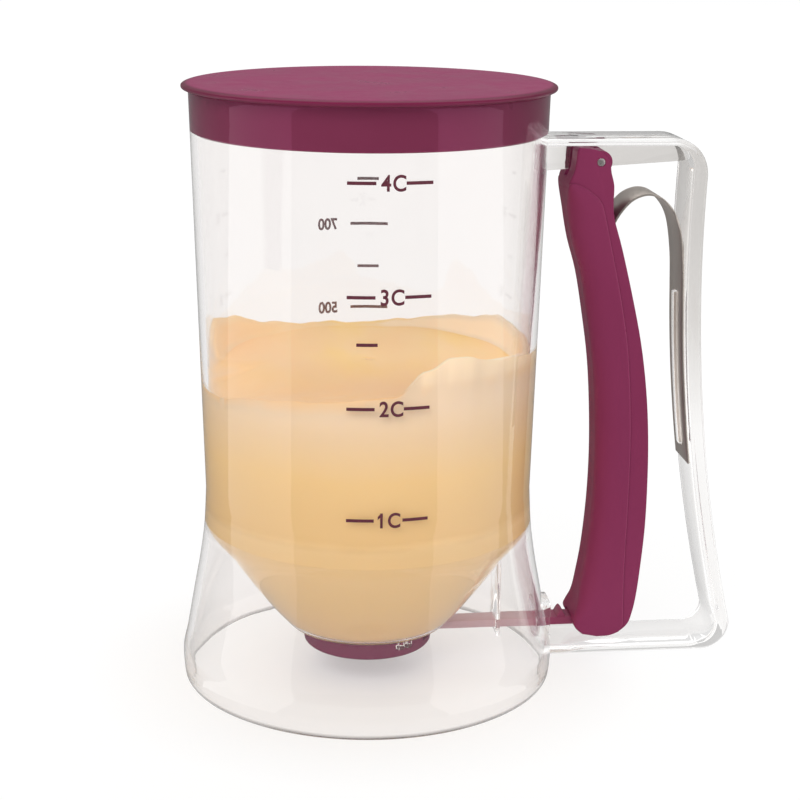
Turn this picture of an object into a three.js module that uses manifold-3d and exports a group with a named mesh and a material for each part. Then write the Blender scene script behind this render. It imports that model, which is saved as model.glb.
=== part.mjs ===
// A hand-held pancake batter dispenser: a clear jug whose floor is a funnel with a
// hole, a slide valve under the hole, and a sprung trigger inside a clear handle
// that pulls the valve open. Millimetres, +Z up, standing on the base ring at z = 0.
// The handle points along +X, and the origin is the centre of the bounding box's
// bottom face. Inside the build functions x is measured from the jug's own axis.

import * as THREE from 'three';
import { mergeVertices } from 'three/addons/utils/BufferGeometryUtils.js';
import Module from 'manifold-3d';

const wasm = await Module();
wasm.setup();

// Fits shared by all pieces
const fit = 0.3;
const overrun = 3;
const roundSegments = 64;
const smallSegments = 24;

// Jug wall
const rimHeight = 179.7;
const waistHeight = 60;
const footRadius = 57.9;
const waistRadius = 50;
const rimRadius = 53;
const wall = 2;
const edgeBevel = 0.5;
// height as a share of the waist height, swell as a share of the foot's swell
const footSwellShares = [
  [0, 0.95], [0.06, 0.99], [0.13, 1], [0.21, 0.86], [0.3, 0.73],
  [0.46, 0.51], [0.62, 0.28], [0.8, 0.09], [1, 0],
];

// Window in the skirt that the valve arm comes out of
const windowRoomBelow = 3.1;
const windowRoomAbove = 2.3;
const windowFrame = 1.2;
const windowProud = 0.1;

// Funnel floor of the jug, with the guide bracket and the hooks for the cap
const funnelTop = 54;
const funnelLip = 0.8;
const funnelSeat = 4.2;
const funnelFloor = 16;
const funnelFloorRadius = 23;
const funnelBulge = 1.2;
const funnelSteps = 8;
const outletRadius = 8;
const guideInset = 10;
const guideThickness = 2;
const guideWidth = 12;
const guideRim = 2;
const guideSideGap = 0.5;
const hookAngle = 62;
const hookSpread = 8;
const hookWidth = 1.8;
const hookThickness = 1.2;
const hookTooth = 1;
const hookDrop = 4.2;

// Valve: cap, seal and sliding arm
const capRadius = 20;
const capFloor = 2.5;
const capWall = 2;
const sealThickness = 1.2;
const bladeRadius = 11;
const bladeCentreX = 1.5;
const bladeShoulderX = 13;
const bladeNeckX = 19;
const armWidth = 7;
const armThickness = 2.6;
const bumpReach = 3.9;
const bumpHeight = 2;
const bumpLength = 3;

// Handle frame: a flat band all round with a web under the top bar
const topBarDrop = 12.7;
const topBarThickness = 2.2;
const bandWidth = 20;
const webThickness = 3;
const webDepthAtJug = 10.6;
const webDepthAtGrip = 7.5;
const lugRadius = 4.8;
const gripWaistReach = 32.1;
const gripWaistDrop = 31;
const gripFlare = 18.2;
const gripDepth = 4.6;
const gripSteps = 12;
const cornerSteps = 6;
const topCorner = 11;
const bottomCorner = 9;
const bottomBarBottom = 4.2;
const bottomBarThickness = 2.6;

// Trigger, its pin and the leaf spring behind it
const hingeReach = 10.1;
const hingeDrop = 7;
const pinRadius = 1.25;
const footClearance = 2.8;
const triggerReach = 18.4;
const triggerWidth = 19.6;
const triggerRearWidth = 18.2;
const triggerWall = 2;
const triggerRoof = 1.8;
const webSlotDrop = 1.5;
const mouthRoom = 0.8;
const bossRadius = 3.4;
const squeezeTravel = 7.5;
const linkOffset = 6;
const linkLift = 0.2;
const linkRadius = 1.5;
const hookWall = 2.2;
const leafWidth = 15;
const leafThickness = 0.8;
const leafLowEnd = 65.5;
const leafArchDrop = 10;
const leafLegHeight = 30;
const leafSlotInset = 4.5;
const leafSlotMargin = 0.5;
const leafSteps = 48;
const ribProud = 1;

// Lid
const lidThickness = 2.5;
const lidOverhang = 2.1;
const plugDepth = 10.7;
const plugWall = 2;
const lidEdge = 0.9;

// The valve hangs under the funnel's floor: seal, arm and cap, with a fit between each
const capTop = funnelFloor - fit;
const armTop = capTop - sealThickness - fit;
const armBottom = armTop - armThickness;
const capBottom = armBottom - fit - capFloor;
const armWindowWidth = armWidth + 2 * guideSideGap;
const windowBottom = armBottom - windowRoomBelow;
const windowTop = armTop + bumpHeight + windowRoomAbove;
const windowReach = footRadius + windowProud;
const guideX = waistRadius - guideInset;
const bumpX = footRadius + bumpReach;

// The handle hangs from the rim and stands clear of the widest part of the jug
const topBarTop = rimHeight - topBarDrop;
const bottomBarTop = bottomBarBottom + bottomBarThickness;
const hingeX = Math.max(footRadius, rimRadius) + hingeReach;
const hingeHeight = topBarTop - hingeDrop;
const gripWaistX = hingeX + gripWaistReach;
const gripWaistHeight = topBarTop - gripWaistDrop;
const handleReach = gripOuter(bottomBarBottom + bottomCorner);

// The trigger reaches from its hinge to just over the bottom bar, and its cross bar
// meets the arm's hook
const triggerLength = hingeHeight - bottomBarTop - footClearance;
const linkX = hingeX + linkOffset;
const linkHeight = armTop + linkLift;
const linkDrop = hingeHeight - linkHeight;
const squeeze = THREE.MathUtils.degToRad(squeezeTravel);
const linkRise = linkDrop * (1 - Math.cos(squeeze)) + linkOffset * Math.sin(squeeze);

// The leaf spring lies on the grip, then arches over to the trigger
const leafArchHeight = hingeHeight - leafArchDrop;
const leafLeaveHeight = leafArchHeight - leafLegHeight;
const leafSlotBottom = leafLowEnd + leafSlotInset;
const leafSlotTop = leafLeaveHeight - leafSlotMargin;

// Trigger outline, seen from the side. Each point is a drop below the hinge as a
// share of the trigger's length, and a way towards the grip as a share of its reach.
const triggerFrontShares = [
  [-0.0286, -0.29], [-0.021, -0.326], [0.013, -0.353], [0.043, -0.44], [0.073, -0.44],
  [0.113, -0.397], [0.166, -0.31], [0.233, -0.152], [0.326, -0.011], [0.419, 0.103],
  [0.519, 0.168], [0.618, 0.196], [0.718, 0.179], [0.818, 0.114], [0.884, 0.033],
  [0.93, -0.04], [0.955, -0.13], [0.969, -0.174], [0.982, -0.14], [0.994, -0.03],
];
const triggerRearShares = [
  [1, 0.217], [0.999, 0.435], [0.991, 0.614], [0.974, 0.761], [0.951, 0.826],
  [0.918, 0.88], [0.864, 0.929], [0.765, 0.989], [0.665, 1], [0.565, 0.978],
  [0.465, 0.908], [0.366, 0.783], [0.266, 0.598], [0.173, 0.402], [0.113, 0.255],
  [0.08, 0.228], [0.047, 0.228], [0.02, 0.174], [0, 0.152], [-0.012, 0.087],
  [-0.023, -0.054], [-0.027, -0.19],
];
// Where the trigger's wide front shell steps down to its narrower rear strip
const triggerStepShares = [
  [0.975, 0.68], [0.86, 0.66], [0.6, 0.68], [0.42, 0.6], [0.3, 0.456],
  [0.18, 0.24], [0.075, 0.04], [0.064, 0.05], [0.05, -0.25], [0.04, -0.43],
];
// The spring's free leg, from where it leaves the grip to its foot in the trigger.
// Height is a share of the leg's height, and the way towards the trigger is a share
// of the room from the grip to the trigger's front wall at the foot.
const leafLegShares = [
  [0.32, 0.01], [0.62, 0.055], [0.78, 0.115], [0.89, 0.2], [0.97, 0.31], [1, 0.42],
  [0.985, 0.53], [0.93, 0.64], [0.82, 0.745], [0.7, 0.82], [0.55, 0.9], [0.4, 0.965],
  [0.26, 1], [0.13, 0.985],
];

function jugRadius(height) {
  if (height >= waistHeight) {
    const rise = (height - waistHeight) / (rimHeight - waistHeight);
    return waistRadius + (rimRadius - waistRadius) * rise;
  }
  const share = height / waistHeight;
  const above = footSwellShares.findIndex(([at]) => at >= share);
  const [lowAt, lowSwell] = footSwellShares[Math.max(above - 1, 0)];
  const [highAt, highSwell] = footSwellShares[above];
  const step = above > 0 ? (share - lowAt) / (highAt - lowAt) : 0;
  const swell = THREE.MathUtils.lerp(lowSwell, highSwell, step);
  return waistRadius + (footRadius - waistRadius) * swell;
}

function gripOuter(height) {
  const lean = (height - gripWaistHeight) / gripWaistHeight;
  return gripWaistX + gripFlare * lean * lean;
}

function triggerPoint([drop, reach]) {
  return new THREE.Vector2(
    hingeX + reach * triggerReach,
    hingeHeight - drop * triggerLength,
  );
}

// Solid modelling helpers
function solidOf(geometry) {
  const bare = geometry.clone();
  bare.deleteAttribute('normal');
  bare.deleteAttribute('uv');
  const merged = mergeVertices(bare);
  const vertProperties = new Float32Array(merged.attributes.position.array);
  const triVerts = new Uint32Array(merged.index.array);
  return new wasm.Manifold(new wasm.Mesh({ numProp: 3, vertProperties, triVerts }));
}

function meshOf(solid, name, material) {
  const result = solid.getMesh();
  const geometry = new THREE.BufferGeometry();
  geometry.setAttribute('position', new THREE.BufferAttribute(result.vertProperties, 3));
  geometry.setIndex(new THREE.BufferAttribute(result.triVerts, 1));
  geometry.computeVertexNormals();
  const mesh = new THREE.Mesh(geometry, material);
  mesh.name = name;
  return mesh;
}

function turned(profile, segments = roundSegments) {
  const points = profile.map(([radius, height]) => new THREE.Vector2(radius, height));
  points.push(points[0].clone());
  const geometry = new THREE.LatheGeometry(points, segments);
  geometry.rotateX(Math.PI / 2);
  return solidOf(geometry);
}

// A side outline in X and Z, with its thickness centred on y = 0
function sidePlate(points, width) {
  const options = { depth: width, bevelEnabled: false, steps: 1 };
  const geometry = new THREE.ExtrudeGeometry(new THREE.Shape(points), options);
  geometry.translate(0, 0, -width / 2);
  geometry.rotateX(Math.PI / 2);
  return solidOf(geometry);
}

// A plan outline in X and Y, standing on the given height
function planPlate(shape, bottom, thickness) {
  const options = { depth: thickness, bevelEnabled: false, steps: 1, curveSegments: smallSegments };
  const geometry = new THREE.ExtrudeGeometry(shape, options);
  geometry.translate(0, 0, bottom);
  return solidOf(geometry);
}

function block(low, high) {
  const size = high.map((value, axis) => value - low[axis]);
  const geometry = new THREE.BoxGeometry(...size);
  geometry.translate(...low.map((value, axis) => value + size[axis] / 2));
  return solidOf(geometry);
}

function rodAlongY(x, height, radius, length) {
  const geometry = new THREE.CylinderGeometry(radius, radius, length, smallSegments);
  geometry.translate(x, 0, height);
  return solidOf(geometry);
}

// The jug's outside, filled to its axis and grown by a gap
function jugEnvelope(gap) {
  const heights = footSwellShares.map(([share]) => share * waistHeight);
  heights.push(rimHeight);
  const side = heights.map((height) => [jugRadius(height) + gap, height]);
  return turned([[0, 0], ...side, [0, rimHeight]]);
}

function jugWall() {
  const heights = footSwellShares.map(([share]) => share * waistHeight).slice(1);
  const outside = heights.map((height) => [jugRadius(height), height]);
  const inside = heights.map((height) => [jugRadius(height) - wall, height]).reverse();
  const profile = [
    [jugRadius(0) - wall, 0],
    [jugRadius(0) - edgeBevel, 0],
    [jugRadius(0), edgeBevel],
    ...outside,
    [rimRadius, rimHeight - edgeBevel],
    [rimRadius - edgeBevel, rimHeight],
    [rimRadius - wall + edgeBevel, rimHeight],
    [rimRadius - wall, rimHeight - edgeBevel],
    ...inside,
  ];
  const inner = jugRadius(windowTop) - wall;
  const half = armWindowWidth / 2;
  const frame = block(
    [inner, -half - windowFrame, windowBottom - windowFrame],
    [windowReach, half + windowFrame, windowTop + windowFrame],
  );
  const opening = block(
    [inner - overrun, -half, windowBottom],
    [windowReach + overrun, half, windowTop],
  );
  return turned(profile).add(frame).subtract(opening);
}

function funnelCurve(start, end, bulge) {
  const along = end.clone().sub(start);
  const outward = new THREE.Vector2(-along.y, along.x).normalize();
  const middle = start.clone().lerp(end, 1 / 2).addScaledVector(outward, 2 * bulge);
  return new THREE.QuadraticBezierCurve(start, middle, end).getPoints(funnelSteps)
    .map((point) => [point.x, point.y]);
}

function funnel() {
  const seatRadius = jugRadius(funnelTop) - wall - fit;
  const floorTop = funnelFloor + wall;
  const inside = funnelCurve(
    new THREE.Vector2(seatRadius - funnelLip, funnelTop),
    new THREE.Vector2(funnelFloorRadius, floorTop),
    funnelBulge,
  );
  const outside = funnelCurve(
    new THREE.Vector2(seatRadius, funnelTop - funnelSeat),
    new THREE.Vector2(funnelFloorRadius + wall, funnelFloor),
    funnelBulge,
  ).reverse();
  const shell = turned([
    [outletRadius, funnelFloor],
    ...outside,
    [seatRadius, funnelTop],
    ...inside,
    [outletRadius, floorTop],
  ]);
  return shell.add(guideBracket()).add(capHooks());
}

// Clear plate under the funnel with a window that keeps the arm level
function guideBracket() {
  const slope = (funnelTop - funnelFloor) / (jugRadius(funnelTop) - funnelFloorRadius);
  const plateTop = funnelFloor + (guideX - funnelFloorRadius) * slope - wall;
  const plate = block(
    [guideX, -guideWidth / 2, armBottom - guideRim],
    [guideX + guideThickness, guideWidth / 2, plateTop],
  );
  const opening = block(
    [guideX - overrun, -armWindowWidth / 2, armBottom - guideSideGap],
    [guideX + guideThickness + overrun, armWindowWidth / 2, armTop + guideSideGap],
  );
  return plate.subtract(opening);
}

function hookAngles() {
  const angles = [];
  for (const middle of [-hookAngle, 180 - hookAngle]) {
    angles.push(middle - hookSpread / 2, middle + hookSpread / 2);
  }
  return angles;
}

// Four small clear hooks in two pairs, each with a tooth under a notch of the cap
function capHooks() {
  const face = capRadius + fit;
  let hooks = null;
  for (const angle of hookAngles()) {
    const leg = block(
      [face, -hookWidth / 2, funnelFloor - hookDrop],
      [face + hookThickness, hookWidth / 2, funnelFloor + wall / 2],
    );
    const tooth = block(
      [face - hookTooth, -hookWidth / 2, funnelFloor - hookDrop],
      [face + hookThickness / 2, hookWidth / 2, funnelFloor - hookDrop + hookTooth],
    );
    const hook = leg.add(tooth).rotate([0, 0, angle]);
    hooks = hooks ? hooks.add(hook) : hook;
  }
  return hooks;
}

function valveCap() {
  const shell = turned([
    [outletRadius, capBottom],
    [capRadius - edgeBevel, capBottom],
    [capRadius, capBottom + edgeBevel],
    [capRadius, capTop - edgeBevel],
    [capRadius - edgeBevel, capTop],
    [capRadius - capWall, capTop],
    [capRadius - capWall, capBottom + capFloor],
    [outletRadius, capBottom + capFloor],
  ]);
  const half = bladeRadius + guideSideGap;
  const slot = block(
    [bladeCentreX, -half, capBottom + capFloor],
    [capRadius + overrun, half, armTop + fit],
  );
  let cap = shell.subtract(slot);
  for (const angle of hookAngles()) {
    const notch = block(
      [capRadius - hookTooth, -hookWidth / 2 - fit, funnelFloor - hookDrop - fit],
      [capRadius + overrun, hookWidth / 2 + fit, funnelFloor - hookDrop + hookTooth + fit],
    );
    cap = cap.subtract(notch.rotate([0, 0, angle]));
  }
  return cap;
}

function valveSeal() {
  const inner = outletRadius;
  const outer = capRadius - capWall - fit;
  return turned([
    [inner, armTop + fit],
    [outer, armTop + fit],
    [outer, capTop],
    [inner, capTop],
  ]);
}

function slideArm() {
  const shape = new THREE.Shape();
  const half = armWidth / 2;
  shape.absarc(bladeCentreX, 0, bladeRadius, Math.PI / 2, (3 * Math.PI) / 2, false);
  shape.lineTo(bladeShoulderX, -bladeRadius);
  shape.lineTo(bladeNeckX, -half);
  shape.lineTo(linkX, -half);
  shape.lineTo(linkX, half);
  shape.lineTo(bladeNeckX, half);
  shape.lineTo(bladeShoulderX, bladeRadius);
  const flat = planPlate(shape, armBottom, armThickness);
  const bump = sidePlate([
    new THREE.Vector2(bumpX - bumpLength / 2, armTop - armThickness / 2),
    new THREE.Vector2(bumpX + bumpLength / 2, armTop - armThickness / 2),
    new THREE.Vector2(bumpX + bumpLength / 2, armTop),
    new THREE.Vector2(bumpX + bumpLength / 4, armTop + bumpHeight),
    new THREE.Vector2(bumpX - bumpLength / 4, armTop + bumpHeight),
    new THREE.Vector2(bumpX - bumpLength / 2, armTop),
  ], armWidth);
  // The end stands up as an open hook that drops over the trigger's cross bar
  const throatTop = linkHeight + linkRise + linkRadius + fit;
  const throatHalf = linkRadius + fit;
  const hook = block(
    [linkX - throatHalf - hookWall, -half, armBottom],
    [linkX + throatHalf + hookWall, half, throatTop + hookWall],
  );
  const throat = block(
    [linkX - throatHalf, -armWidth, armBottom - overrun],
    [linkX + throatHalf, armWidth, throatTop],
  );
  return flat.add(bump).add(hook).subtract(throat);
}

// The band's inner and outer outlines share the grip's curve
function gripLine(inset, lowest, highest) {
  const points = [];
  for (let step = 0; step <= gripSteps; step += 1) {
    const height = THREE.MathUtils.lerp(lowest, highest, step / gripSteps);
    points.push(new THREE.Vector2(gripOuter(height) - inset, height));
  }
  return points;
}

function cornerLine(from, corner, to) {
  return new THREE.QuadraticBezierCurve(from, corner, to).getPoints(cornerSteps).slice(1, -1);
}

function bandOutline(inset, low, high, lowCorner, highCorner) {
  const start = waistRadius - wall;
  const grip = gripLine(inset, low + lowCorner, high - highCorner);
  const gripLow = grip[0];
  const gripHigh = grip[grip.length - 1];
  const barLow = new THREE.Vector2(gripLow.x - lowCorner, low);
  const barHigh = new THREE.Vector2(gripHigh.x - highCorner, high);
  return [
    new THREE.Vector2(start, low),
    barLow,
    ...cornerLine(barLow, new THREE.Vector2(gripLow.x, low), gripLow),
    ...grip,
    ...cornerLine(gripHigh, new THREE.Vector2(gripHigh.x, high), barHigh),
    barHigh,
    new THREE.Vector2(start, high),
  ];
}

function handleFrame() {
  const outer = bandOutline(0, bottomBarBottom, topBarTop, bottomCorner, topCorner);
  const inner = bandOutline(
    gripDepth,
    bottomBarTop,
    topBarTop - topBarThickness,
    bottomCorner - bottomBarThickness,
    topCorner - gripDepth,
  );
  const band = sidePlate(outer, bandWidth).subtract(sidePlate(inner, bandWidth + overrun));
  return band
    .add(topWeb())
    .add(springRib())
    .subtract(rodAlongY(hingeX, hingeHeight, pinRadius + fit, bandWidth))
    .subtract(jugEnvelope(fit));
}

function topWeb() {
  const webTop = topBarTop - topBarThickness / 2;
  const bottomAtJug = topBarTop - webDepthAtJug;
  const bottomAtGrip = topBarTop - webDepthAtGrip;
  const gripFace = gripOuter(bottomAtGrip) - gripDepth / 2;
  const cornerCut = topCorner / 2;
  const web = sidePlate([
    new THREE.Vector2(waistRadius, bottomAtJug),
    new THREE.Vector2(gripFace, bottomAtGrip),
    new THREE.Vector2(gripFace, webTop - cornerCut),
    new THREE.Vector2(gripFace - cornerCut, webTop),
    new THREE.Vector2(waistRadius, webTop),
  ], webThickness);
  return web.add(rodAlongY(hingeX, hingeHeight, lugRadius, webThickness));
}

// Rib on the grip's inner face that stands through the spring's slot
function springRib() {
  const proud = gripDepth + fit + leafThickness + ribProud;
  const face = gripLine(proud, leafSlotBottom + fit, leafSlotTop - fit);
  const back = gripLine(gripDepth / 2, leafSlotBottom + fit, leafSlotTop - fit).reverse();
  return sidePlate([...face, ...back], webThickness);
}

function hingePin() {
  return rodAlongY(hingeX, hingeHeight, pinRadius, triggerRearWidth);
}

function trigger() {
  const front = triggerFrontShares.map(triggerPoint);
  const rear = triggerRearShares.map(triggerPoint);
  const step = triggerStepShares.map(triggerPoint);
  const narrow = sidePlate([...front, ...rear], triggerRearWidth);
  const wideFront = front.filter((point) => point.y < step[step.length - 1].y);
  const wide = sidePlate([...wideFront, ...rear.slice(0, 3), ...step], triggerWidth);
  return narrow
    .add(wide)
    .subtract(triggerHollow(front))
    .add(triggerBosses())
    .subtract(rodAlongY(hingeX, hingeHeight, pinRadius + fit, triggerWidth))
    .subtract(webSlot())
    .subtract(armMouth())
    .add(rodAlongY(linkX, linkHeight, linkRadius, triggerWidth - triggerWall));
}

// The trigger is a channel, open towards the grip
function triggerHollow(front) {
  const roof = front[0].y - triggerRoof;
  const floor = hingeHeight - triggerLength + triggerRoof;
  const inner = front
    .filter((point) => point.y < roof && point.y > floor)
    .map((point) => new THREE.Vector2(point.x + triggerWall, point.y));
  const behind = hingeX + 2 * triggerReach;
  const outline = [
    new THREE.Vector2(inner[0].x, roof),
    ...inner,
    new THREE.Vector2(inner[inner.length - 1].x, floor),
    new THREE.Vector2(behind, floor),
    new THREE.Vector2(behind, roof),
  ];
  return sidePlate(outline, leafWidth + 2 * fit);
}

function triggerBosses() {
  const length = leafWidth + 2 * fit + triggerWall / 2;
  return rodAlongY(hingeX, hingeHeight, bossRadius, length);
}

// Slot for the handle's web, through roof, front wall and bosses
function webSlot() {
  const half = webThickness / 2 + fit;
  return block(
    [hingeX - triggerReach, -half, topBarTop - webDepthAtJug - webSlotDrop],
    [hingeX + triggerReach, half, topBarTop],
  );
}

// Mouth in the foot's front wall and floor that lets the arm's hook in
function armMouth() {
  const half = armWidth / 2 + mouthRoom;
  return block(
    [hingeX - triggerReach, -half, 0],
    [linkX + linkRadius + fit + hookWall + mouthRoom, half, armTop + mouthRoom],
  );
}

// How far out the inside of the trigger's front wall is at a height
function triggerInside(height) {
  const front = triggerFrontShares.map(triggerPoint);
  const below = front.findIndex((point) => point.y <= height);
  const low = front[below];
  const high = front[below - 1];
  const share = (height - low.y) / (high.y - low.y);
  return THREE.MathUtils.lerp(low.x, high.x, share) + triggerWall;
}

function leafCentreLine() {
  const back = gripDepth + fit + leafThickness / 2;
  const onGrip = (height) => gripOuter(height) - back;
  const legHeight = (up) => leafLeaveHeight + up * leafLegHeight;
  const footHeight = legHeight(leafLegShares[leafLegShares.length - 1][0]);
  const clearance = leafThickness / 2 + fit;
  const room = onGrip(footHeight) - triggerInside(footHeight) - clearance;
  const leg = leafLegShares.map(([up, across]) => new THREE.Vector2(
    onGrip(legHeight(up)) - across * room,
    legHeight(up),
  ));
  const held = gripLine(back, leafLowEnd, leafLeaveHeight);
  return new THREE.SplineCurve([...held, ...leg]).getPoints(leafSteps);
}

function leafSpring() {
  const line = leafCentreLine();
  const half = leafThickness / 2;
  const left = [];
  const right = [];
  line.forEach((point, index) => {
    const before = line[Math.max(index - 1, 0)];
    const after = line[Math.min(index + 1, line.length - 1)];
    const along = after.clone().sub(before).normalize();
    const side = new THREE.Vector2(-along.y, along.x);
    left.push(point.clone().addScaledVector(side, half));
    right.push(point.clone().addScaledVector(side, -half));
  });
  const strip = sidePlate([...left, ...right.reverse()], leafWidth);
  const slotHalf = webThickness / 2 + fit;
  const slot = block(
    [hingeX + triggerReach, -slotHalf, leafSlotBottom],
    [handleReach, slotHalf, leafSlotTop],
  );
  return strip.subtract(slot);
}

function lid() {
  const underside = rimHeight + fit;
  const lidTop = underside + lidThickness;
  const lidRadius = rimRadius + lidOverhang;
  const plugBottom = underside - plugDepth;
  const plugRadius = jugRadius(plugBottom) - wall - fit;
  return turned([
    [0, underside],
    [plugRadius - plugWall, underside],
    [plugRadius - plugWall, plugBottom],
    [plugRadius - edgeBevel, plugBottom],
    [plugRadius, plugBottom + edgeBevel],
    [plugRadius, underside],
    [lidRadius - lidEdge, underside],
    [lidRadius, underside + lidEdge],
    [lidRadius, lidTop - lidEdge],
    [lidRadius - lidEdge, lidTop],
    [0, lidTop],
  ]);
}

// Materials
function clearPlastic() {
  const options = { color: 0xf1edeb, roughness: 0.08, metalness: 0 };
  return new THREE.MeshStandardMaterial({ ...options, transparent: true, opacity: 0.35 });
}

function plumPlastic() {
  return new THREE.MeshStandardMaterial({ color: 0x80375a, roughness: 0.38, metalness: 0 });
}

function steel() {
  return new THREE.MeshStandardMaterial({ color: 0xb4aca6, roughness: 0.3, metalness: 1 });
}

function silicone() {
  return new THREE.MeshStandardMaterial({ color: 0xd9d4cf, roughness: 0.6, metalness: 0 });
}

const assembly = new THREE.Group();
assembly.add(
  meshOf(jugWall(), 'jug_wall', clearPlastic()),
  meshOf(funnel(), 'jug_funnel', clearPlastic()),
  meshOf(handleFrame(), 'handle_frame', clearPlastic()),
  meshOf(lid(), 'lid', plumPlastic()),
  meshOf(trigger(), 'trigger', plumPlastic()),
  meshOf(hingePin(), 'hinge_pin', steel()),
  meshOf(leafSpring(), 'leaf_spring', steel()),
  meshOf(slideArm(), 'slide_arm', plumPlastic()),
  meshOf(valveCap(), 'valve_cap', plumPlastic()),
  meshOf(valveSeal(), 'valve_seal', silicone()),
);
assembly.position.x = (footRadius - handleReach) / 2;

export default assembly;
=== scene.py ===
# A hand-held pancake batter dispenser on a pale floor: a clear jug with a funnel
# floor and a closed handle, a plug lid, a sprung trigger and a slide valve, with
# batter in it. Sizes below are millimetres in the part's own frame, and x counts
# from the jug's axis. The model itself is in metres.

from math import atan2, cos, degrees, hypot, pi, radians, sin

import bmesh
import bpy
from mathutils import Color, Matrix, Vector, noise
from mathutils.geometry import interpolate_bezier


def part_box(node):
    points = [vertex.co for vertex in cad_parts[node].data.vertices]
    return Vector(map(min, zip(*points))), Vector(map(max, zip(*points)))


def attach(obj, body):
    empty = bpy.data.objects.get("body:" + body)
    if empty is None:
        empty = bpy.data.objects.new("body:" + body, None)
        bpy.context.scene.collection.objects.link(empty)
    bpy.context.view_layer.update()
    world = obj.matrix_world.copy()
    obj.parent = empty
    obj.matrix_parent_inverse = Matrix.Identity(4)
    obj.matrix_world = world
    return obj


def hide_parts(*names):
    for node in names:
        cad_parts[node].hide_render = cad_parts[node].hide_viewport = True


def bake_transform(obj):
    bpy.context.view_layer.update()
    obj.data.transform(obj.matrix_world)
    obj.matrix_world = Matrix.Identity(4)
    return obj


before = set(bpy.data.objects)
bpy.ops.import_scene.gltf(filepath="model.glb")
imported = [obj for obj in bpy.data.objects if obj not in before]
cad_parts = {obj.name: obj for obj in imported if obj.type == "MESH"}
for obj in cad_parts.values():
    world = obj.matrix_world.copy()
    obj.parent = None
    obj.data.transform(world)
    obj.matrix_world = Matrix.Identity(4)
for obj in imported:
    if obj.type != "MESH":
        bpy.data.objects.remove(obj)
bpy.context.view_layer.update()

MM = 0.001
LID_LOW, LID_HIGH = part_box("lid")
AXIS_X = (LID_LOW.x + LID_HIGH.x) / 2 / MM

# Jug
RIM_HEIGHT = 180.9
WAIST_HEIGHT = 60.0
FOOT_RADIUS = 57.9
WAIST_RADIUS = 50.0
RIM_RADIUS = 53.0
WALL = 2.0
EDGE_ROUND = 0.6
FOOT_SWELL = (
    (0.0, 0.95), (0.06, 0.99), (0.13, 1.0), (0.21, 0.86), (0.3, 0.73),
    (0.46, 0.51), (0.62, 0.28), (0.8, 0.09), (1.0, 0.0),
)
FUNNEL_TOP = 54.0
FUNNEL_TOP_RADIUS = 47.3
FUNNEL_UNDER_TOP = 49.8
FUNNEL_FLOOR = 16.0
FUNNEL_FLOOR_RADIUS = 23.7
FUNNEL_UNDER_RADIUS = 25.0
FUNNEL_BULGE = 1.2
FUNNEL_FLOOR_THICK = 0.9
FUNNEL_FLOOR_TOP = FUNNEL_FLOOR + FUNNEL_FLOOR_THICK
FUNNEL_EASE = 3.0
UNDER_EASE = 2.0
OUTLET_RADIUS = 8.0
LATHE_STEPS = 192
ROD_STEPS = 48
OUTLINE_STEPS = 4
# How much of its offset from a rounded corner a curve's handle keeps
HANDLE_KEEP = 0.44

# Window, guide and cap hooks in the skirt
WINDOW_LOW = 8.5
WINDOW_HIGH = 18.5
WINDOW_HALF = 4.0
WINDOW_FRAME = 1.2
WINDOW_REACH = 58.0
GUIDE_X = 40.4
GUIDE_THICK = 1.2
GUIDE_HALF = 6.0
GUIDE_LOW = 9.6
GUIDE_HIGH = 36.0
HOOK_WIDTH = 1.8
HOOK_THICK = 1.2
HOOK_LOW = 11.8
HOOK_TOOTH = 1.0
# Where the hooks stand about the jug's axis, in degrees
HOOK_TURNS = (-66.0, -58.0, 114.0, 122.0)
CLEAR_GAP = 0.3
FINE_ROUND = 0.4
OVERRUN = 1.0

# Handle
TOP_BAR_TOP = 167.0
TOP_BAR_THICK = 2.2
BOTTOM_BAR_BOTTOM = 4.2
BOTTOM_BAR_THICK = 2.6
BAND_WIDTH = 20.0
BAND_ROUND = 1.0
GRIP_WAIST_X = 100.1
GRIP_WAIST_HEIGHT = 136.0
GRIP_FLARE = 18.2
GRIP_DEPTH = 4.6
TOP_CORNER = 11.0
BOTTOM_CORNER = 9.0
WEB_THICK = 3.0
WEB_LOW_AT_JUG = 156.4
WEB_LOW_AT_GRIP = 159.5
LUG_RADIUS = 4.8
HINGE_X = 68.0
HINGE_HEIGHT = 160.0
PIN_RADIUS = 1.25
PIN_HALF = 9.1
BOSS_RADIUS = 3.4

# Trigger, seen from the side: (drop below the hinge as a share of its length,
# way towards the grip as a share of its reach)
TRIGGER_LENGTH = 150.4
TRIGGER_REACH = 18.4
TRIGGER_WIDTH = 19.6
TRIGGER_REAR_WIDTH = 18.2
TRIGGER_WALL = 2.0
TRIGGER_HOLLOW = 15.6
TRIGGER_ROUND = 0.7
TRIGGER_BROAD = 6.0
FINGER_FROM = 10.0
FINGER_FULL = 26.0
FINGER_PROUD = 1.2
FINGER_FADE = 144.0
FINGER_END = 156.0
FINGER_STEPS = 8
STEP_ROUND = 0.55
MOUTH_ROOM = 0.8
END_WALL = 1.8
TRIGGER_FRONT = (
    (-0.0286, -0.29), (-0.021, -0.326), (0.013, -0.353), (0.043, -0.44), (0.073, -0.44),
    (0.113, -0.397), (0.166, -0.31), (0.233, -0.152), (0.326, -0.011), (0.419, 0.103),
    (0.519, 0.168), (0.618, 0.196), (0.718, 0.179), (0.818, 0.114), (0.884, 0.033),
    (0.93, -0.04), (0.955, -0.13), (0.969, -0.174), (0.982, -0.14), (0.994, -0.03),
)
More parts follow.
